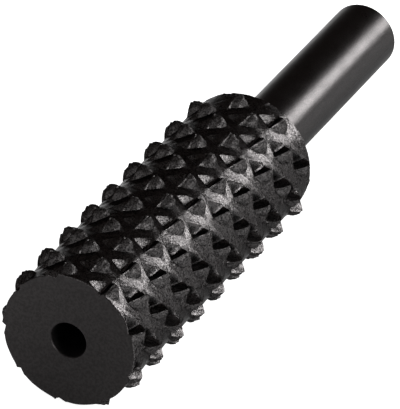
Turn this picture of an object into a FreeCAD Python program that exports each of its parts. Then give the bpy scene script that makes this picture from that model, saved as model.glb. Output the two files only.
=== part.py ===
import FreeCAD, Part
import Sketcher
import math
import os
import re

# A rotary rasp for a drill: a turned head with punched teeth, a shank set in its rear and the braze between.
# Millimetres. +Y runs along the axis from the nose to the free end of the shank, +Z is up, and the origin
# is on the axis at the rear face of the head, where the shank comes out.

NODE_FOLDER = "parts"
os.makedirs(NODE_FOLDER, exist_ok=True)
document = FreeCAD.newDocument("rotary_rasp")

# Driving sizes in millimetres and degrees
DRIVING_SIZES = {
    "shank_dia": 6.35,
    "shank_out": 25.8,
    "shank_bevel": 0.5,
    "head_dia": 12.4,
    "head_len": 36.3,
    "rear_bevel": 0.3,
    "nose_hole_dia": 3.3,
    "facing_stock": 1.0,
    "spigot_dia": 5.0,
    "spigot_len": 13.9,
    "spigot_bevel": 0.4,
    "socket_point_angle": 118.0,
    "socket_gap": 0.05,
    "seat_gap": 0.1,
    "braze_width": 0.25,
    "columns": 18,
    "first_column_angle": 0.5,
    "column_drift": 0.54,
    "row_pitch": 4.15,
    "first_row": 0.8,
    "rear_land": 2.2,
    "tooth_height": 0.9,
    "tooth_width": 2.2,
    "tooth_back": 1.5,
    "heel_height": 0.62,
    "heel_run": 0.3,
    "tooth_root": 0.5,
    "face_lean": 28.0,
    "unit_turn": 8.0,
    "pit_depth": 0.5,
    "pit_len": 1.3,
}

# Shape of one tooth, as shares of its own width, height and length of back
SHOULDER_WIDTH = 0.55
SHOULDER_HEIGHT = 0.68
HEEL_WIDTH = 0.38
# How far a punch or a tooth edge reaches past the surface that it crosses
EDGE_SINK = 0.04
PUNCH_REACH = 1.6
FULL_TURN = 360.0
QUARTER_TURN = 90.0

sheet = document.addObject("Spreadsheet::Sheet", "Sizes")
for line, (alias, number) in enumerate(DRIVING_SIZES.items(), start=1):
    sheet.set("A%d" % line, alias)
    sheet.set("B%d" % line, str(number))
    sheet.setAlias("B%d" % line, alias)
document.recompute()


def size(formula):
    """A formula on the sheet's aliases, worked out as a number."""
    return float(sheet.evalExpression(formula))


def in_sketch(formula):
    """The same formula as it is written from outside the sheet."""
    return re.sub("[a-z_]{4,}", lambda word: "Sizes." + word.group(), formula)


def turned_body(name, corners):
    """A body turned about the Y axis from a closed section; a corner is its radius and its place along Y."""
    body = document.addObject("PartDesign::Body", name)
    body.Label = name
    flat_plane = [item for item in body.Origin.OriginFeatures if item.Role == "XY_Plane"][0]
    sketch = body.newObject("Sketcher::SketchObject", name + "_section")
    sketch.AttachmentSupport = (flat_plane, [""])
    sketch.MapMode = "FlatFace"
    points = [FreeCAD.Vector(size(radius), size(place), 0) for radius, place in corners]
    for index, point in enumerate(points):
        sketch.addGeometry(Part.LineSegment(point, points[(index + 1) % len(points)]))
    for index in range(len(points)):
        sketch.addConstraint(Sketcher.Constraint("Coincident", index, 2, (index + 1) % len(points), 1))
    for index, corner in enumerate(corners):
        values = (points[index].x, points[index].y)
        for kind, value, formula in zip(("DistanceX", "DistanceY"), values, corner):
            number = sketch.addConstraint(Sketcher.Constraint(kind, -1, 1, index, 1, value))
            sketch.setExpression("Constraints[%d]" % number, in_sketch(formula))
    turning = body.newObject("PartDesign::Revolution", name + "_turned")
    turning.Profile = sketch
    turning.ReferenceAxis = (sketch, ["V_Axis"])
    turning.Angle = FULL_TURN
    document.recompute()
    return body


def closed_solid(faces, points):
    """A solid with flat faces; each face names its corners in order."""
    flat_faces = []
    for face in faces:
        outline = [points[corner] for corner in face]
        flat_faces.append(Part.Face(Part.makePolygon(outline + [outline[0]])))
    solid = Part.Solid(Part.Shell(flat_faces))
    if solid.Volume < 0:
        solid.reverse()
    return solid


def front_point(across, height):
    """A point of the cutting face, which leans back from the pit; the unit's frame is X along the head's
    axis, Y round the head towards the pit, Z out from the surface."""
    return FreeCAD.Vector(across, -height * math.tan(math.radians(size("face_lean"))), height)


def surface_point(across, round_head, sink):
    """A point at the head's surface, or sunk under it."""
    radius = size("head_dia / 2")
    drop = math.sqrt(radius ** 2 - round_head ** 2) - radius
    return FreeCAD.Vector(across, round_head, drop - sink)


def tooth_solid():
    """One tooth: a leaning rounded cutting face, and a back that falls a little to a high, blunt heel."""
    half = size("tooth_width / 2")
    height = size("tooth_height")
    back = size("tooth_back")
    root = size("tooth_root")
    points = {
        "left": front_point(-half, -EDGE_SINK),
        "right": front_point(half, -EDGE_SINK),
        "left_root": front_point(-half, -root),
        "right_root": front_point(half, -root),
        "left_shoulder": front_point(-SHOULDER_WIDTH * half, SHOULDER_HEIGHT * height),
        "right_shoulder": front_point(SHOULDER_WIDTH * half, SHOULDER_HEIGHT * height),
        "tip": front_point(0, height),
        "heel_top": surface_point(0, size("heel_run") - back, -size("heel_height")),
        "left_heel": surface_point(-HEEL_WIDTH * half, -back, EDGE_SINK),
        "right_heel": surface_point(HEEL_WIDTH * half, -back, EDGE_SINK),
    }
    for side in ("left", "right"):
        heel = points[side + "_heel"]
        points[side + "_heel_root"] = FreeCAD.Vector(heel.x, heel.y, -root)
    faces = [
        ("left_root", "left", "left_shoulder", "tip", "right_shoulder", "right", "right_root"),
        ("left", "left_heel", "left_shoulder"),
        ("left_shoulder", "left_heel", "heel_top"),
        ("left_shoulder", "heel_top", "tip"),
        ("heel_top", "left_heel", "right_heel"),
        ("tip", "heel_top", "right_shoulder"),
        ("heel_top", "right_heel", "right_shoulder"),
        ("right_shoulder", "right_heel", "right"),
        ("left_root", "left_heel_root", "left"),
        ("left_heel_root", "left_heel", "left"),
        ("left_heel_root", "right_heel_root", "right_heel", "left_heel"),
        ("right_heel_root", "right_root", "right"),
        ("right_heel_root", "right", "right_heel"),
        ("left_root", "right_root", "right_heel_root", "left_heel_root"),
    ]
    return closed_solid(faces, points)


def punch_solid():
    """The three-sided point that raises a tooth and leaves its pit; it reaches out past the surface."""
    half = size("tooth_width / 2")
    point = front_point(0, -size("pit_depth"))
    rim = {
        "left": front_point(-half, 0),
        "right": front_point(half, 0),
        "front": surface_point(0, size("pit_len"), 0),
    }
    points = {name: point + (place - point) * PUNCH_REACH for name, place in rim.items()}
    points["point"] = point
    faces = [
        ("point", "left", "right"),
        ("point", "right", "front"),
        ("point", "front", "left"),
        ("left", "front", "right"),
    ]
    return closed_solid(faces, points)


def unit_places():
    """Where each punch stroke lands: columns along the head, each half a pitch off its neighbours,
    that drift slowly round the head from the nose to the rear."""
    radius = size("head_dia / 2")
    column_step = FULL_TURN / size("columns")
    half_pitch = size("row_pitch / 2")
    toothed_length = size("head_len - first_row - rear_land")
    half_rows = int(toothed_length / half_pitch) + 1
    places = []
    for half_row in range(half_rows):
        along = size("first_row - head_len") + half_row * half_pitch
        first_column = 1 - half_row % 2
        for column in range(first_column, int(size("columns")), 2):
            angle = size("first_column_angle") + column * column_step
            angle -= half_row / 2 * size("column_drift")
            outward = FreeCAD.Vector(math.cos(math.radians(angle)), 0, math.sin(math.radians(angle)))
            upright = FreeCAD.Rotation(FreeCAD.Vector(0, 1, 0), QUARTER_TURN - angle)
            turned = FreeCAD.Rotation(FreeCAD.Vector(0, 0, 1), QUARTER_TURN + size("unit_turn"))
            centre = outward * radius + FreeCAD.Vector(0, along, 0)
            places.append(FreeCAD.Placement(centre, upright * turned))
    return places


def field_of(name, unit):
    """The same solid at each of the punched places, as one feature."""
    copies = []
    for place in unit_places():
        copy = unit.copy()
        copy.Placement = place
        copies.append(copy)
    feature = document.addObject("Part::Feature", name)
    feature.Shape = Part.Compound(copies)
    return feature


def joined(kind, name, base, tool):
    """A boolean of two features of the document, with its seams cleaned."""
    feature = document.addObject(kind, name)
    feature.Base = base
    feature.Tool = tool
    feature.Refine = True
    return feature


# The head is turned from bar with spare length at the nose, drilled through, and bored from the rear
# as the socket for the shank's spigot
head_blank = turned_body("head_blank", [
    ("nose_hole_dia / 2", "-head_len - facing_stock"),
    ("head_dia / 2", "-head_len - facing_stock"),
    ("head_dia / 2", "-rear_bevel"),
    ("head_dia / 2 - rear_bevel", "0"),
    ("spigot_dia / 2 + socket_gap + braze_width", "0"),
    ("spigot_dia / 2 + socket_gap", "-braze_width"),
    ("spigot_dia / 2 + socket_gap", "-spigot_len - seat_gap"),
    ("nose_hole_dia / 2",
     "-spigot_len - seat_gap - (spigot_dia / 2 + socket_gap - nose_hole_dia / 2)"
     " / tan(socket_point_angle / 2 * 1deg)"),
])

# Each stroke of the punch leaves a pit and raises a tooth behind it
pits = field_of("pits", punch_solid())
teeth = field_of("teeth", tooth_solid())
pitted_head = joined("Part::Cut", "pitted_head", head_blank, pits)
toothed_head = joined("Part::Fuse", "toothed_head", pitted_head, teeth)

# The nose is faced off last, so the first teeth and pits end in its rim
facing_cut = document.addObject("Part::Cylinder", "facing_cut")
facing_cut.setExpression("Radius", "Sizes.head_dia")
facing_cut.setExpression("Height", "Sizes.head_len")
facing_cut.Placement.Rotation = FreeCAD.Rotation(FreeCAD.Vector(1, 0, 0), QUARTER_TURN)
facing_cut.setExpression("Placement.Base.y", "-Sizes.head_len")
rasp_head = joined("Part::Cut", "rasp_head", toothed_head, facing_cut)
rasp_head.Label = "rasp_head"

# The shank is a turned pin with a thinner spigot that goes into the socket, up to its shoulder
shank = turned_body("shank", [
    ("0", "-spigot_len"),
    ("spigot_dia / 2 - spigot_bevel", "-spigot_len"),
    ("spigot_dia / 2", "spigot_bevel - spigot_len"),
    ("spigot_dia / 2", "0"),
    ("shank_dia / 2", "0"),
    ("shank_dia / 2", "shank_out - shank_bevel"),
    ("shank_dia / 2 - shank_bevel", "shank_out"),
    ("0", "shank_out"),
])

# A ring of brazing metal fills the bevel at the socket's mouth, round the spigot and under the shoulder
braze_ring = turned_body("braze_ring", [
    ("spigot_dia / 2", "-braze_width"),
    ("spigot_dia / 2 + socket_gap", "-braze_width"),
    ("spigot_dia / 2 + socket_gap + braze_width", "0"),
    ("spigot_dia / 2", "0"),
])

document.recompute()

nodes = [rasp_head, shank, braze_ring]
for item in document.Objects:
    if "Invalid" in item.State or "Error" in item.State:
        raise RuntimeError("%s did not build: %s" % (item.Label, item.State))
for node in nodes:
    if node.Shape.isNull() or not node.Shape.isValid():
        raise RuntimeError("%s has no valid shape" % node.Label)
    if len(node.Shape.Solids) != 1:
        raise RuntimeError("%s is not one solid" % node.Label)
for node in nodes:
    node.Shape.exportStep("%s/%s.step" % (NODE_FOLDER, node.Label))
    box = node.Shape.BoundBox
    print(node.Label, "faces", len(node.Shape.Faces), "volume", round(node.Shape.Volume, 2),
          "from", [round(v, 3) for v in (box.XMin, box.YMin, box.ZMin)],
          "to", [round(v, 3) for v in (box.XMax, box.YMax, box.ZMax)])
print("teeth", len(teeth.Shape.Solids))
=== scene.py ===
import math
import bmesh
import bpy
from mathutils import Matrix, Vector


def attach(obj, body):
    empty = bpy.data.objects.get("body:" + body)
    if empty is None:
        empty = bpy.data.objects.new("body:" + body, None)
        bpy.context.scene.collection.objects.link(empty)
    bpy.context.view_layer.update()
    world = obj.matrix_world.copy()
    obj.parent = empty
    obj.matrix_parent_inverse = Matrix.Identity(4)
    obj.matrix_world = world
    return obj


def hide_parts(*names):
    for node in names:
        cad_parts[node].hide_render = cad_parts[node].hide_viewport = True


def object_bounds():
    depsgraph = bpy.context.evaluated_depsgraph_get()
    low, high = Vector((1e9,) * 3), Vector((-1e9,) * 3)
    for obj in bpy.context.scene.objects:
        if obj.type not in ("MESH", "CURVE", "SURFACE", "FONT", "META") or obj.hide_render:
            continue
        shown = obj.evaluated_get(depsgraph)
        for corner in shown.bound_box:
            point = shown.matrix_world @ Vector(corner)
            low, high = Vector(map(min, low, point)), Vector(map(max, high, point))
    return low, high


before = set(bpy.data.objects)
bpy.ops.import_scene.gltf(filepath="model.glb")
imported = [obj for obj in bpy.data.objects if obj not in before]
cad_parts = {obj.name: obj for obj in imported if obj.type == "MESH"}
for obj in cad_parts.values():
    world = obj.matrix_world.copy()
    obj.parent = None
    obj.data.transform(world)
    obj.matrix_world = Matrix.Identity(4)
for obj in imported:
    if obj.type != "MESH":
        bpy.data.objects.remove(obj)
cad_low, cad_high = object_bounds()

MM = 0.001
scene = bpy.context.scene

# Camera
# A long lens that looks at the nose from its left and above, as the photograph does.
CAMERA_RIGHT = Vector((0.9050, 0.4254, 0.0))
CAMERA_UP = Vector((-0.2066, 0.4396, 0.8741))
CAMERA_FROM_NOSE = Vector((205.4, -410.8, 268.3)) * MM
NOSE_CENTRE = Vector((0.0, -36.3, 0.0)) * MM
LENS = 553.2

camera_data = bpy.data.cameras.new("camera")
camera_data.lens = LENS
camera_data.sensor_width = 36.0
camera_data.clip_start = 0.01
camera_data.clip_end = 20.0
camera = bpy.data.objects.new("camera", camera_data)
scene.collection.objects.link(camera)
camera_turn = Matrix((CAMERA_RIGHT, CAMERA_UP, CAMERA_RIGHT.cross(CAMERA_UP))).transposed()
camera.matrix_world = Matrix.Translation(NOSE_CENTRE + CAMERA_FROM_NOSE) @ camera_turn.to_4x4()
scene.camera = camera
scene.view_settings.view_transform = "Standard"


def node_of(tree, kind, place, **settings):
    """A new node with its settings made and its inputs filled."""
    node = tree.nodes.new(kind)
    node.location = (place[0] * 200, place[1] * 200)
    for name, value in settings.items():
        if hasattr(node, name):
            setattr(node, name, value)
        else:
            node.inputs[name.replace("_", " ")].default_value = value
    return node


def arrives(tree, place, *rays):
    """One where a ray of one of the named kinds arrives, else nought."""
    path = node_of(tree, "ShaderNodeLightPath", place)
    share = path.outputs[rays[0]]
    for step, ray in enumerate(rays[1:], start=1):
        either = node_of(tree, "ShaderNodeMath", (place[0] + step, place[1]), operation="MAXIMUM")
        tree.links.new(share, either.inputs[0])
        tree.links.new(path.outputs[ray], either.inputs[1])
        share = either.outputs[0]
    return share


# Studio
# A white table under a white room. The table shows the soft shadow of the rasp that lies on it, and the glow
# that the steel mirrors from the table is a painted shadow, dark in a band along the rasp. The side light
# stands low and right, for the pits' walls.
FLOOR_HALF = 3.0
FLOOR_GLOW = 0.85
FLOOR_MIRRORED = 0.85
# Painted shadow in the table's mirrored glow: its share under the rasp, and how far off the rasp's axis it
# rises to full
FLOOR_PAINTED_SHADOW = 0.08
PAINTED_SHADOW_FROM = 0.005
PAINTED_SHADOW_TO = 0.017
ROOM_SHADES = (("fill", 0.35, (1, 1, 1)), ("mirrored", 0.10, (1.0, 0.80, 0.74)), ("seen", 1.0, (1, 1, 1)))
HEAD_MIDDLE = Vector((0.0, -18.0, 0.0)) * MM

world = bpy.data.worlds.new("room")
world.use_nodes = True
scene.world = world
room = world.node_tree
room.nodes.clear()
shades = {}
for step, (name, strength, colour) in enumerate(ROOM_SHADES):
    shades[name] = node_of(room, "ShaderNodeBackground", (3, -step), Strength=strength)
    shades[name].inputs["Color"].default_value = (*colour, 1)
dim_room = node_of(room, "ShaderNodeMixShader", (4, 0))
room.links.new(arrives(room, (0, 2), "Is Glossy Ray"), dim_room.inputs[0])
room.links.new(shades["fill"].outputs[0], dim_room.inputs[1])
room.links.new(shades["mirrored"].outputs[0], dim_room.inputs[2])
either_room = node_of(room, "ShaderNodeMixShader", (5, 0))
room.links.new(arrives(room, (0, 1), "Is Camera Ray", "Is Transmission Ray"), either_room.inputs[0])
room.links.new(dim_room.outputs[0], either_room.inputs[1])
room.links.new(shades["seen"].outputs[0], either_room.inputs[2])
room_out = node_of(room, "ShaderNodeOutputWorld", (5, 0))
room.links.new(either_room.outputs[0], room_out.inputs[0])

table_paint = bpy.data.materials.new("white_table")
table_paint.use_nodes = True
paint = table_paint.node_tree
paint.nodes.clear()
white = node_of(paint, "ShaderNodeBsdfDiffuse", (3, 0))
white.inputs["Color"].default_value = (0.8, 0.8, 0.8, 1)
glow = node_of(paint, "ShaderNodeEmission", (4, -1))
# Painted shadow: the glow that glossy rays see in the table is dim within a few millimetres of the rasp's axis
# and rises to full further out along X, so the steel mirrors a dark table under the rasp
spot = node_of(paint, "ShaderNodeSeparateXYZ", (0, -3))
paint.links.new(node_of(paint, "ShaderNodeNewGeometry", (-1, -3)).outputs["Position"], spot.inputs[0])
aside = node_of(paint, "ShaderNodeMath", (1, -3), operation="ABSOLUTE")
paint.links.new(spot.outputs[0], aside.inputs[0])
painted_shadow_glow = node_of(paint, "ShaderNodeMapRange", (2, -3), From_Min=PAINTED_SHADOW_FROM, From_Max=PAINTED_SHADOW_TO,
              To_Min=FLOOR_PAINTED_SHADOW, To_Max=FLOOR_MIRRORED)
paint.links.new(aside.outputs[0], painted_shadow_glow.inputs["Value"])
mirrored_share = node_of(paint, "ShaderNodeMath", (3, -2), operation="MULTIPLY")
paint.links.new(painted_shadow_glow.outputs[0], mirrored_share.inputs[1])
paint.links.new(arrives(paint, (0, -2), "Is Glossy Ray"), mirrored_share.inputs[0])
paint_share = node_of(paint, "ShaderNodeMath", (3, -1), operation="MULTIPLY_ADD")
paint_share.inputs[1].default_value = FLOOR_GLOW
paint.links.new(arrives(paint, (0, -1), "Is Camera Ray", "Is Transmission Ray"), paint_share.inputs[0])
paint.links.new(mirrored_share.outputs[0], paint_share.inputs[2])
paint.links.new(paint_share.outputs[0], glow.inputs["Strength"])
both = node_of(paint, "ShaderNodeAddShader", (5, 0))
paint.links.new(white.outputs[0], both.inputs[0])
paint.links.new(glow.outputs[0], both.inputs[1])
table_out = node_of(paint, "ShaderNodeOutputMaterial", (6, 0))
paint.links.new(both.outputs[0], table_out.inputs[0])

table_height = cad_low.z - 0.02 * MM
table_mesh = bpy.data.meshes.new("table")
table_mesh.from_pydata(
    [(x * FLOOR_HALF, y * FLOOR_HALF, table_height) for x, y in ((-1, -1), (1, -1), (1, 1), (-1, 1))],
    [], [(0, 1, 2, 3)])
table_mesh.materials.append(table_paint)
table = bpy.data.objects.new("table", table_mesh)
scene.collection.objects.link(table)


def soft_box(name, aim, distance, width, height, watts):
    """A soft light that stands off the middle of the head along aim and faces it."""
    light = bpy.data.lights.new(name, "AREA")
    light.shape = "RECTANGLE"
    light.size = width
    light.size_y = height
    light.energy = watts
    lamp = bpy.data.objects.new(name, light)
    scene.collection.objects.link(lamp)
    away = Vector(aim).normalized()
    lamp.rotation_mode = "QUATERNION"
    lamp.location = HEAD_MIDDLE + away * distance
    lamp.rotation_quaternion = away.to_track_quat("Z", "Y")
    return lamp


soft_box("key_light", (0.52, 0.79, 0.34), 0.6, 0.16, 0.22, 2.7)
soft_box("side_light", (0.93, -0.20, 0.34), 0.6, 0.18, 0.20, 2.2)
soft_box("room_light", (-0.25, -0.75, 0.75), 1.0, 1.3, 1.1, 4.5)


# Head
# A cylinder turned from steel. A three-sided punch has driven a pit into it at each place of a staggered
# field and pushed a leaning tooth up behind the pit. The nose is faced off, and the whole is blackened.
CORE_RADIUS = 6.2
HEAD_LENGTH = 36.3
COLUMNS = 18
HALF_ROW = 2.075
FIRST_ROW = -35.5
TOOTHED_ROWS = 17
PLAIN_ROWS = 3
WORN_RIM = 1.5
WORN_SHARE = 0.1
WANDER = 0.35
WANDER_SCALE = 420.0
HEIGHT_SPREAD = 0.3
HEIGHT_SCALE = 450.0
KNOBS = 0.14
KNOB_SCALE = 1500.0
GRAIN = 0.045
GRAIN_SCALE = 2600.0
ROUGHENING = 2.5
LAND_SHARE = 0.02
MERGE_WITHIN = 0.01
COLUMN_STEP = math.radians(360 / COLUMNS)
FIRST_COLUMN = math.radians(0.5)
DRIFT = math.radians(0.54) / (2 * HALF_ROW)
TILE_SHIFT = (0.05, -0.15)

# One unit from its heel to the pit's far corner, in rows of five points: along the head, round the head
# towards the pit, and out from the surface, in millimetres
UNIT_ROWS = [
    [(-0.3, -1.27, 0), (-0.05, -1.44, 0), (0.22, -1.52, 0), (0.5, -1.44, 0), (0.74, -1.3, 0)],
    [(-0.52, -1.04, 0), (-0.12, -1.28, 0.26), (0.25, -1.36, 0.34), (0.58, -1.27, 0.26), (0.93, -1.08, 0)],
    [(-0.66, -0.88, 0), (-0.2, -1.12, 0.42), (0.28, -1.18, 0.56), (0.66, -1.1, 0.42), (1, -0.92, 0)],
    [(-0.76, -0.74, 0), (-0.25, -0.97, 0.5), (0.32, -1.03, 0.66), (0.72, -0.96, 0.5), (1.04, -0.76, 0)],
    [(-0.84, -0.6, 0), (-0.28, -0.82, 0.53), (0.37, -0.89, 0.73), (0.77, -0.82, 0.53), (1.06, -0.61, 0)],
    [(-0.89, -0.45, 0), (-0.3, -0.66, 0.58), (0.42, -0.75, 0.83), (0.81, -0.68, 0.58), (1.07, -0.47, 0)],
    [(-0.98, -0.34, 0.02), (-0.33, -0.51, 0.57), (0.38, -0.6, 0.8), (0.82, -0.56, 0.55), (1.07, -0.33, 0.02)],
    [(-1.08, -0.26, 0.06), (-0.36, -0.43, 0.6), (0.36, -0.48, 0.82), (0.82, -0.47, 0.56), (1.07, -0.24, 0.06)],
    [(-1.11, -0.19, 0.07), (-0.36, -0.38, 0.6), (0.37, -0.42, 0.83), (0.83, -0.41, 0.56), (1.08, -0.16, 0.07)],
    [(-1.09, -0.1, 0), (-0.54, -0.09, -0.33), (-0.02, -0.11, -0.68), (0.5, -0.07, -0.32), (1.07, -0.02, 0.06)],
    [(-1.07, -0.02, 0), (-0.54, 0.06, -0.33), (-0.03, 0.08, -0.68), (0.5, 0.1, -0.3), (1.06, 0.09, 0.04)],
    [(-1.03, 0.12, 0), (-0.64, 0.76, 0), (-0.24, 1.4, 0), (0.4, 0.82, 0), (1.04, 0.23, 0)],
    [(-0.96, 0.4, 0), (-0.56, 1.08, 0), (-0.22, 1.6, 0), (0.3, 1.12, 0), (0.95, 0.48, 0)],
]
CREST_ROW = 7
FOOT_ROW = 9
RIM_ROW = 11
SHARP_ROWS = {0: 1.0, 3: 0.6, 5: 0.6, CREST_ROW: 0.8, CREST_ROW + 1: 1.0, FOOT_ROW: 1.0, FOOT_ROW + 1: 0.8,
              RIM_ROW: 1.0}
# The points of those rows that stay corners, as row and column: the tip, the pit's rim and its floor
CORNERS = [
    (CREST_ROW, 2), (CREST_ROW + 1, 2),
    (FOOT_ROW, 0), (FOOT_ROW, 2), (FOOT_ROW, 4),
    (FOOT_ROW + 1, 0), (FOOT_ROW + 1, 2), (FOOT_ROW + 1, 4),
    (RIM_ROW, 0), (RIM_ROW, 2), (RIM_ROW, 4),
]


def tile_mesh():
    """The diamond of surface that holds one unit; such diamonds join edge to edge round the whole head.

    Its edges carry how sharp they stay, and its points whether they are torn metal or a corner.
    """
    points = []
    last = len(UNIT_ROWS) + 1
    half = last / 2
    for line in range(last + 1):
        share = 1 - abs(line - half) / half
        along = TILE_SHIFT[0]
        width = HALF_ROW * share
        round_head = TILE_SHIFT[1] + CORE_RADIUS * COLUMN_STEP * (line - half) / half
        if line in (0, last):
            points.append([(along, round_head, 0.0)])
            continue
        points.append([
            (along - width, round_head, 0.0),
            *UNIT_ROWS[line - 1],
            (along + width, round_head, 0.0),
        ])
    tile = bmesh.new()
    crease = tile.edges.layers.float.new("unit_crease")
    torn = tile.verts.layers.float.new("torn")
    corner = tile.verts.layers.float.new("unit_corner")
    rows = [[tile.verts.new(Vector(p) * MM) for p in line] for line in points]
    for line in range(last):
        here, there = rows[line], rows[line + 1]
        for column in range(max(len(here), len(there)) - 1):
            corners = []
            for vert in (here[min(column, len(here) - 1)], here[min(column + 1, len(here) - 1)],
                         there[min(column + 1, len(there) - 1)], there[min(column, len(there) - 1)]):
                if vert not in corners:
                    corners.append(vert)
            tile.faces.new(corners)

    # The rows' creases, the unit's outline, and the valley of the pit
    for line, sharp in SHARP_ROWS.items():
        verts = rows[line + 1][1:-1]
        for first, second in zip(verts, verts[1:]):
            tile.edges.get((first, second))[crease] = sharp
    for side in (1, -2):
        for here, there in zip(rows[1:RIM_ROW + 1], rows[2:RIM_ROW + 2]):
            tile.edges.get((here[side], there[side]))[crease] = 1.0
    middle = len(UNIT_ROWS[0]) // 2 + 1
    tile.edges.get((rows[FOOT_ROW + 2][middle], rows[RIM_ROW + 1][middle]))[crease] = 1.0

    # The back of the tooth is torn metal, inside its outline
    for line in rows[1:CREST_ROW + 1]:
        for vert in line[2:-2]:
            vert[torn] = 1.0
    for line, column in CORNERS:
        rows[line + 1][column + 1][corner] = 1.0
    mesh = bpy.data.meshes.new("unit_tile")
    tile.to_mesh(mesh)
    tile.free()
    return mesh


def socket(tree, name, kind, default=None, way="INPUT"):
    """A named input or output of a tree."""
    made = tree.interface.new_socket(name=name, in_out=way, socket_type=kind)
    if default is not None:
        made.default_value = default
    return made


def sum_of(tree, place, operation, *values):
    """The output of one Math node; a value is a number or another node's output."""
    node = node_of(tree, "ShaderNodeMath", place, operation=operation)
    for index, value in enumerate(values):
        if isinstance(value, (int, float)):
            node.inputs[index].default_value = value
        else:
            tree.links.new(value, node.inputs[index])
    return node.outputs[0]


def tooth_field():
    """The tree that sets the tile at each place of the field, rolls the field up and roughens it."""
    tree = bpy.data.node_groups.new("tooth_field", "GeometryNodeTree")
    socket(tree, "Tile", "NodeSocketGeometry")
    socket(tree, "Core radius", "NodeSocketFloat", CORE_RADIUS * MM)
    socket(tree, "Half row", "NodeSocketFloat", HALF_ROW * MM)
    socket(tree, "First row", "NodeSocketFloat", FIRST_ROW * MM)
    socket(tree, "Nose", "NodeSocketFloat", -HEAD_LENGTH * MM)
    socket(tree, "Toothed rows", "NodeSocketInt", TOOTHED_ROWS)
    socket(tree, "Columns", "NodeSocketInt", COLUMNS)
    socket(tree, "First column", "NodeSocketFloat", FIRST_COLUMN)
    socket(tree, "Drift", "NodeSocketFloat", DRIFT / MM)
    socket(tree, "Unevenness", "NodeSocketFloat", KNOBS * MM)
    socket(tree, "Grain", "NodeSocketFloat", GRAIN * MM)
    socket(tree, "Seed", "NodeSocketFloat", 4.0)
    socket(tree, "Steel", "NodeSocketMaterial")
    socket(tree, "Field", "NodeSocketGeometry", way="OUTPUT")
    given = node_of(tree, "NodeGroupInput", (-12, 0)).outputs

    # One point for each unit, on a grid of staggered rows laid flat
    rows = sum_of(tree, (-11, 1), "ADD", given["Toothed rows"], float(PLAIN_ROWS))
    per_row = sum_of(tree, (-11, 2), "DIVIDE", given["Columns"], 2.0)
    count = sum_of(tree, (-10, 1), "MULTIPLY", rows, per_row)
    points = node_of(tree, "GeometryNodePoints", (-9, 1))
    tree.links.new(count, points.inputs["Count"])
    index = node_of(tree, "GeometryNodeInputIndex", (-11, -1)).outputs[0]
    row = sum_of(tree, (-9, -1), "FLOOR", sum_of(tree, (-10, -1), "DIVIDE", index, per_row))
    column = sum_of(tree, (-9, -2), "MODULO", index, per_row)
    row = sum_of(tree, (-8, -1), "SUBTRACT", row, 1.0)
    odd = sum_of(tree, (-7, -2), "FLOORED_MODULO", row, 2.0)
    column = sum_of(tree, (-6, -2), "SUBTRACT", sum_of(tree, (-7, -3), "MULTIPLY_ADD", column, 2.0, 1.0), odd)
    step = sum_of(tree, (-6, -3), "DIVIDE", 2 * math.pi, given["Columns"])
    angle = sum_of(tree, (-5, -2), "MULTIPLY_ADD", column, step, given["First column"])
    along = sum_of(tree, (-5, -1), "MULTIPLY_ADD", row, given["Half row"], given["First row"])
    where = node_of(tree, "ShaderNodeCombineXYZ", (-4, -1))
    tree.links.new(along, where.inputs[0])
    tree.links.new(sum_of(tree, (-4, -2), "MULTIPLY", angle, given["Core radius"]), where.inputs[1])
    placed = node_of(tree, "GeometryNodeSetPosition", (-3, 1))
    tree.links.new(points.outputs[0], placed.inputs["Geometry"])
    tree.links.new(where.outputs[0], placed.inputs["Position"])

    # A tile at each point, and whether the punch has struck there
    low = sum_of(tree, (-4, 3), "GREATER_THAN", row, -0.5)
    high = sum_of(tree, (-4, 4), "LESS_THAN", row, given["Toothed rows"])
    punched = node_of(tree, "GeometryNodeStoreNamedAttribute", (-2, 1), data_type="FLOAT", domain="POINT")
    punched.inputs["Name"].default_value = "punched"
    tree.links.new(placed.outputs[0], punched.inputs["Geometry"])
    tree.links.new(sum_of(tree, (-3, 3), "MULTIPLY", low, high), punched.inputs["Value"])
    set_out = node_of(tree, "GeometryNodeInstanceOnPoints", (-1, 1))
    tree.links.new(punched.outputs[0], set_out.inputs["Points"])
    tree.links.new(given["Tile"], set_out.inputs["Instance"])
    real = node_of(tree, "GeometryNodeRealizeInstances", (0, 1))
    tree.links.new(set_out.outputs[0], real.inputs[0])

    # Each place strays a little, read from noise on the rolled place so that the field's seam closes
    here = node_of(tree, "GeometryNodeInputPosition", (-9, -6)).outputs[0]
    laid = node_of(tree, "ShaderNodeSeparateXYZ", (-8, -6))
    tree.links.new(here, laid.inputs[0])
    laid_turn = sum_of(tree, (-7, -6), "DIVIDE", laid.outputs[1], given["Core radius"])
    ring_place = node_of(tree, "ShaderNodeCombineXYZ", (-4, -6))
    for output, operation in ((0, "COSINE"), (2, "SINE")):
        swung = sum_of(tree, (-6, -6 - output), operation, laid_turn)
        tree.links.new(sum_of(tree, (-5, -6 - output), "MULTIPLY", swung, given["Core radius"]),
                       ring_place.inputs[output])
    tree.links.new(laid.outputs[0], ring_place.inputs[1])
    wander = node_of(tree, "ShaderNodeTexNoise", (-3, -6), noise_dimensions="4D", Scale=WANDER_SCALE,
                     Detail=0.0)
    tree.links.new(ring_place.outputs[0], wander.inputs["Vector"])
    tree.links.new(given["Seed"], wander.inputs["W"])
    shift = node_of(tree, "ShaderNodeVectorMath", (-2, -6), operation="SUBTRACT")
    tree.links.new(wander.outputs["Color"], shift.inputs[0])
    shift.inputs[1].default_value = (0.5, 0.5, 0.5)
    flat_shift = node_of(tree, "ShaderNodeVectorMath", (-1, -6), operation="MULTIPLY")
    tree.links.new(shift.outputs[0], flat_shift.inputs[0])
    flat_shift.inputs[1].default_value = (WANDER * MM, WANDER * MM, 0.0)
    strayed = node_of(tree, "ShaderNodeVectorMath", (0, -6), operation="ADD")
    tree.links.new(here, strayed.inputs[0])
    tree.links.new(flat_shift.outputs[0], strayed.inputs[1])
    at = node_of(tree, "ShaderNodeSeparateXYZ", (0, -1))
    tree.links.new(strayed.outputs[0], at.inputs[0])

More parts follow.
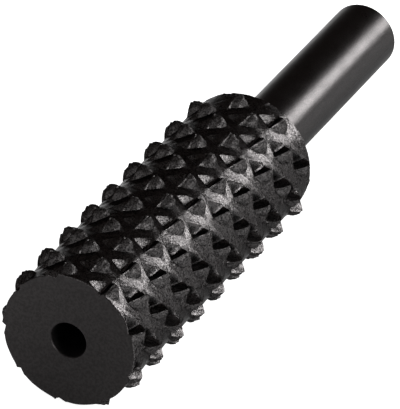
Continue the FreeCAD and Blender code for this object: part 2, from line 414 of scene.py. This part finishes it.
    # How far out: more or less tall from unit to unit, worn down at the nose's rim
    is_punched = node_of(tree, "GeometryNodeInputNamedAttribute", (-1, -2), data_type="FLOAT")
    is_punched.inputs["Name"].default_value = "punched"
    uneven = node_of(tree, "ShaderNodeTexNoise", (-1, -4), noise_dimensions="4D", Scale=HEIGHT_SCALE)
    tree.links.new(ring_place.outputs[0], uneven.inputs["Vector"])
    tree.links.new(given["Seed"], uneven.inputs["W"])
    height_share = sum_of(tree, (0, -4), "MULTIPLY_ADD", uneven.outputs[0], HEIGHT_SPREAD,
                          1 - HEIGHT_SPREAD / 2)
    height = sum_of(tree, (1, -2), "MULTIPLY", at.outputs[2], is_punched.outputs[0])
    height = sum_of(tree, (2, -2), "MULTIPLY", height, height_share)
    from_nose = sum_of(tree, (1, -5), "SUBTRACT", at.outputs[0], given["Nose"])
    kept = node_of(tree, "ShaderNodeMapRange", (2, -5), interpolation_type="SMOOTHSTEP")
    kept.inputs["From Max"].default_value = WORN_RIM * MM
    kept.inputs["To Min"].default_value = WORN_SHARE
    tree.links.new(from_nose, kept.inputs["Value"])
    raised = sum_of(tree, (2, -6), "MAXIMUM", height, 0.0)
    sunk = sum_of(tree, (2, -7), "MINIMUM", height, 0.0)
    height = sum_of(tree, (3, -5), "MULTIPLY_ADD", raised, kept.outputs[0], sunk)

    # Rolled up round the axis and joined along the seams
    out = sum_of(tree, (3, -2), "ADD", height, given["Core radius"])
    turn = sum_of(tree, (1, -1), "DIVIDE", at.outputs[1], given["Core radius"])
    drifted = sum_of(tree, (1, -3), "SUBTRACT", at.outputs[0], given["First row"])
    turn = sum_of(tree, (3, -1), "SUBTRACT", turn, sum_of(tree, (2, -3), "MULTIPLY", drifted, given["Drift"]))
    rolled = node_of(tree, "ShaderNodeCombineXYZ", (5, -1))
    tree.links.new(at.outputs[0], rolled.inputs[1])
    for output, operation in ((0, "COSINE"), (2, "SINE")):
        swung = sum_of(tree, (3, -output), operation, turn)
        tree.links.new(sum_of(tree, (4, -1 - output), "MULTIPLY", out, swung), rolled.inputs[output])
    roll = node_of(tree, "GeometryNodeSetPosition", (6, 1))
    tree.links.new(real.outputs[0], roll.inputs["Geometry"])
    tree.links.new(rolled.outputs[0], roll.inputs["Position"])
    closed = node_of(tree, "GeometryNodeMergeByDistance", (7, 1))
    closed.inputs["Distance"].default_value = MERGE_WITHIN * MM
    tree.links.new(roll.outputs[0], closed.inputs["Geometry"])

    # Rounded, and roughened where the metal is torn
    edge = node_of(tree, "GeometryNodeInputNamedAttribute", (7, -1), data_type="FLOAT")
    edge.inputs["Name"].default_value = "unit_crease"
    point = node_of(tree, "GeometryNodeInputNamedAttribute", (7, -2), data_type="FLOAT")
    point.inputs["Name"].default_value = "unit_corner"
    fine = node_of(tree, "GeometryNodeSubdivisionSurface", (8, 1))
    fine.inputs["Level"].default_value = 2
    tree.links.new(closed.outputs[0], fine.inputs["Mesh"])
    tree.links.new(edge.outputs[0], fine.inputs["Edge Crease"])
    tree.links.new(point.outputs[0], fine.inputs["Vertex Crease"])
    torn = node_of(tree, "GeometryNodeInputNamedAttribute", (8, -1), data_type="FLOAT")
    torn.inputs["Name"].default_value = "torn"
    grain = node_of(tree, "ShaderNodeTexNoise", (8, -2), noise_dimensions="4D", Scale=GRAIN_SCALE, Detail=3.0)
    tree.links.new(given["Seed"], grain.inputs["W"])
    knobs = node_of(tree, "ShaderNodeTexNoise", (8, -4), noise_dimensions="4D", Scale=KNOB_SCALE)
    tree.links.new(given["Seed"], knobs.inputs["W"])
    swing = sum_of(tree, (9, -2), "SUBTRACT", grain.outputs[0], 0.5)
    swing = sum_of(tree, (10, -2), "MULTIPLY", swing, given["Grain"])
    lump = sum_of(tree, (9, -4), "SUBTRACT", knobs.outputs[0], 0.5)
    lump = sum_of(tree, (10, -4), "MULTIPLY", lump, given["Unevenness"])
    swing = sum_of(tree, (11, -2), "MULTIPLY", sum_of(tree, (11, -3), "ADD", swing, lump), ROUGHENING)
    share = sum_of(tree, (9, -1), "MULTIPLY_ADD", torn.outputs[0], 1 - LAND_SHARE, LAND_SHARE)
    swing = sum_of(tree, (12, -2), "MULTIPLY", swing, share)
    normal = node_of(tree, "GeometryNodeInputNormal", (11, -1))
    push = node_of(tree, "ShaderNodeVectorMath", (13, -1), operation="SCALE")
    tree.links.new(normal.outputs[0], push.inputs[0])
    tree.links.new(swing, push.inputs["Scale"])
    rough = node_of(tree, "GeometryNodeSetPosition", (14, 1))
    tree.links.new(fine.outputs[0], rough.inputs["Geometry"])
    tree.links.new(push.outputs[0], rough.inputs["Offset"])
    finish = node_of(tree, "GeometryNodeSetMaterial", (15, 1))
    tree.links.new(rough.outputs[0], finish.inputs["Geometry"])
    tree.links.new(given["Steel"], finish.inputs["Material"])
    result = node_of(tree, "NodeGroupOutput", (16, 1))
    tree.links.new(finish.outputs[0], result.inputs[0])
    return tree


def blackened_steel(name, colour, roughness, speckle, grain_scale, grain_depth, glance, torn_roughness=None):
    """Steel with a thin black oxide: nearly black, satin, speckled, with fine grain.

    glance is the share of light that it keeps where it is seen edge on, as a dull oxide keeps little.
    """
    made = bpy.data.materials.new(name)
    made.use_nodes = True
    tree = made.node_tree
    shader = tree.nodes["Principled BSDF"]
    shader.inputs["Metallic"].default_value = 1.0
    shader.inputs["Specular Tint"].default_value = (glance, glance, glance, 1)
    where = node_of(tree, "ShaderNodeTexCoord", (-9, 0)).outputs["Object"]
    specks = node_of(tree, "ShaderNodeTexNoise", (-7, 1), Scale=grain_scale, Detail=4.0, Roughness=0.7)
    tree.links.new(where, specks.inputs["Vector"])
    tone = node_of(tree, "ShaderNodeValToRGB", (-5, 1))
    dark, light = tone.color_ramp.elements
    dark.position, light.position = 0.42, 0.58
    dark.color = (*[c * (1 - speckle) for c in colour], 1)
    light.color = (*[c * (1 + speckle) for c in colour], 1)
    tree.links.new(specks.outputs[0], tone.inputs[0])
    tree.links.new(tone.outputs[0], shader.inputs["Base Color"])
    clouds = node_of(tree, "ShaderNodeTexNoise", (-7, -1), Scale=700.0, Detail=3.0)
    tree.links.new(where, clouds.inputs["Vector"])
    spread = node_of(tree, "ShaderNodeMapRange", (-5, -1))
    spread.inputs["To Min"].default_value = roughness - 0.08
    spread.inputs["To Max"].default_value = roughness + 0.08
    tree.links.new(clouds.outputs[0], spread.inputs["Value"])
    roughened = spread.outputs[0]
    if torn_roughness is not None:
        torn = node_of(tree, "ShaderNodeAttribute", (-5, -2), attribute_name="torn")
        mixed = node_of(tree, "ShaderNodeMapRange", (-4, -2))
        mixed.inputs["To Max"].default_value = torn_roughness
        tree.links.new(torn.outputs["Fac"], mixed.inputs["Value"])
        tree.links.new(roughened, mixed.inputs["To Min"])
        roughened = mixed.outputs[0]
    tree.links.new(roughened, shader.inputs["Roughness"])
    grain = node_of(tree, "ShaderNodeTexNoise", (-5, -4), Scale=grain_scale * 0.7, Detail=5.0, Roughness=0.7)
    tree.links.new(where, grain.inputs["Vector"])
    bump = node_of(tree, "ShaderNodeBump", (-3, -3), Strength=1.0, Distance=grain_depth * MM)
    tree.links.new(grain.outputs[0], bump.inputs["Height"])
    tree.links.new(bump.outputs[0], shader.inputs["Normal"])
    return made


head_steel = blackened_steel("head_steel", (0.043, 0.041, 0.041), 0.28, 0.8, 8000.0, 0.020, 0.4,
                             torn_roughness=0.50)
nose_steel = blackened_steel("nose_steel", (0.031, 0.029, 0.029), 0.50, 0.15, 4000.0, 0.004, 0.5)

tile = bpy.data.objects.new("unit_tile", tile_mesh())
scene.collection.objects.link(tile)
field = tile.modifiers.new("tooth_field", "NODES")
field.node_group = tooth_field()
for item in field.node_group.interface.items_tree:
    if item.name == "Steel":
        field[item.identifier] = head_steel
deps = bpy.context.evaluated_depsgraph_get()
skin_mesh = bpy.data.meshes.new_from_object(tile.evaluated_get(deps), depsgraph=deps)
tile.modifiers.remove(field)
bpy.data.objects.remove(tile)

RIM_BREAK = 0.06
HOLE_BREAK = 0.05
HOLE_BREAK_DEPTH = 0.1
TIP_RADIUS = 7.09
SHARP_FROM = 19.0
THINNING = 0.42
NEAR = 0.01
WALL_MARGIN = 0.1
REAR_BEVEL = 0.3
HOLE_RADIUS = 1.65
SOCKET_RADIUS = 2.55
MOUTH_RADIUS = 2.8
MOUTH_DEPTH = 0.25
SOCKET_END = -14.0
HOLE_END = -14.54
RING_POINTS = 96


def cut_off(skin, place, side):
    """Cuts the skin square at a place along Y, drops what lies past it and gives the edges of the cut."""
    every = skin.verts[:] + skin.edges[:] + skin.faces[:]
    cut = bmesh.ops.bisect_plane(skin, geom=every, plane_co=(0, place, 0), plane_no=(0, side, 0),
                                 clear_outer=True)
    return [item for item in cut["geom_cut"] if isinstance(item, bmesh.types.BMEdge)]


def stepped_in(skin, edges, inward, place):
    """A narrow band that runs from the cut edges inwards to a new edge at a place along Y."""
    band = bmesh.ops.extrude_edge_only(skin, edges=edges)["geom"]
    for vert in [item for item in band if isinstance(item, bmesh.types.BMVert)]:
        radius = math.hypot(vert.co.x, vert.co.z)
        share = (radius - inward) / radius
        vert.co = Vector((vert.co.x * share, place, vert.co.z * share))
    return [item for item in band if isinstance(item, bmesh.types.BMEdge)]


def turned_wall(skin, section):
    """The wall turned from a section of radius and place; gives its first and last ring of edges."""
    rings = []
    for radius, place in section:
        ring = []
        for index in range(RING_POINTS):
            angle = 2 * math.pi * index / RING_POINTS
            ring.append(skin.verts.new((radius * math.cos(angle), place, radius * math.sin(angle))))
        rings.append(ring)
    for here, there in zip(rings, rings[1:]):
        for index in range(RING_POINTS):
            after = (index + 1) % RING_POINTS
            skin.faces.new((here[index], here[after], there[after], there[index]))
    ends = []
    for ring in (rings[0], rings[-1]):
        ends.append([skin.edges.get((ring[index - 1], ring[index])) for index in range(RING_POINTS)])
    return ends


def shade(mesh):
    """Smooth shading that breaks at the edges that turn by more than SHARP_FROM degrees."""
    for polygon in mesh.polygons:
        polygon.use_smooth = True
    mesh.set_sharp_from_angle(angle=math.radians(SHARP_FROM))


skin = bmesh.new()
skin.from_mesh(skin_mesh)
nose_edge = cut_off(skin, (RIM_BREAK - HEAD_LENGTH) * MM, -1)
rear_edge = cut_off(skin, -REAR_BEVEL * MM, 1)
nose_edge = stepped_in(skin, nose_edge, RIM_BREAK * MM, -HEAD_LENGTH * MM)
rear_edge = stepped_in(skin, rear_edge, REAR_BEVEL * MM, 0.0)
bore = [
    (HOLE_RADIUS + HOLE_BREAK, -HEAD_LENGTH),
    (HOLE_RADIUS, HOLE_BREAK_DEPTH - HEAD_LENGTH),
    (HOLE_RADIUS, HOLE_END),
    (SOCKET_RADIUS, SOCKET_END),
    (SOCKET_RADIUS, -MOUTH_DEPTH),
    (MOUTH_RADIUS, 0.0),
]
nose_ring, mouth_ring = turned_wall(skin, [(radius * MM, place * MM) for radius, place in bore])
bmesh.ops.triangle_fill(skin, edges=nose_edge + nose_ring, use_beauty=True)
bmesh.ops.triangle_fill(skin, edges=rear_edge + mouth_ring, use_beauty=True)
bmesh.ops.recalc_face_normals(skin, faces=skin.faces[:])
skin.to_mesh(skin_mesh)
skin.free()
skin_mesh.materials.clear()
skin_mesh.materials.append(head_steel)
skin_mesh.materials.append(nose_steel)
for polygon in skin_mesh.polygons:
    inside = math.hypot(polygon.center.x, polygon.center.z) < (SOCKET_RADIUS + WALL_MARGIN) * MM
    on_nose = polygon.center.y < (NEAR - HEAD_LENGTH) * MM
    polygon.material_index = 1 if inside or on_nose else 0
shade(skin_mesh)
skin_mesh.name = "rasp_head_surface"
head = bpy.data.objects.new("rasp_head_surface", skin_mesh)
scene.collection.objects.link(head)
thinned = head.modifiers.new("thinned", "DECIMATE")
thinned.ratio = THINNING
deps = bpy.context.evaluated_depsgraph_get()
head.data = bpy.data.meshes.new_from_object(head.evaluated_get(deps), depsgraph=deps)
head.modifiers.remove(thinned)
# No tip stands out past the solid's
for vert in head.data.vertices:
    past = math.hypot(vert.co.x, vert.co.z) / (TIP_RADIUS * MM)
    if past > 1:
        vert.co.x /= past
        vert.co.z /= past
shade(head.data)
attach(head, "root")
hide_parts("rasp_head")

# Shank
# A plain steel pin, turned and lightly polished before it was blackened, pressed into the head's socket.
shank_steel = blackened_steel("shank_steel", (0.040, 0.038, 0.038), 0.31, 0.25, 9000.0, 0.006, 0.55)
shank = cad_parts["shank"]
for place in shank.material_slots:
    place.material = shank_steel

# Braze ring
# Brazing metal, darkened with the rest, in the bevel at the socket's mouth under the shank's shoulder.
braze_metal = blackened_steel("braze_metal", (0.16, 0.12, 0.08), 0.45, 0.3, 5000.0, 0.01, 0.6)
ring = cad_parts["braze_ring"]
for place in ring.material_slots:
    place.material = braze_metal
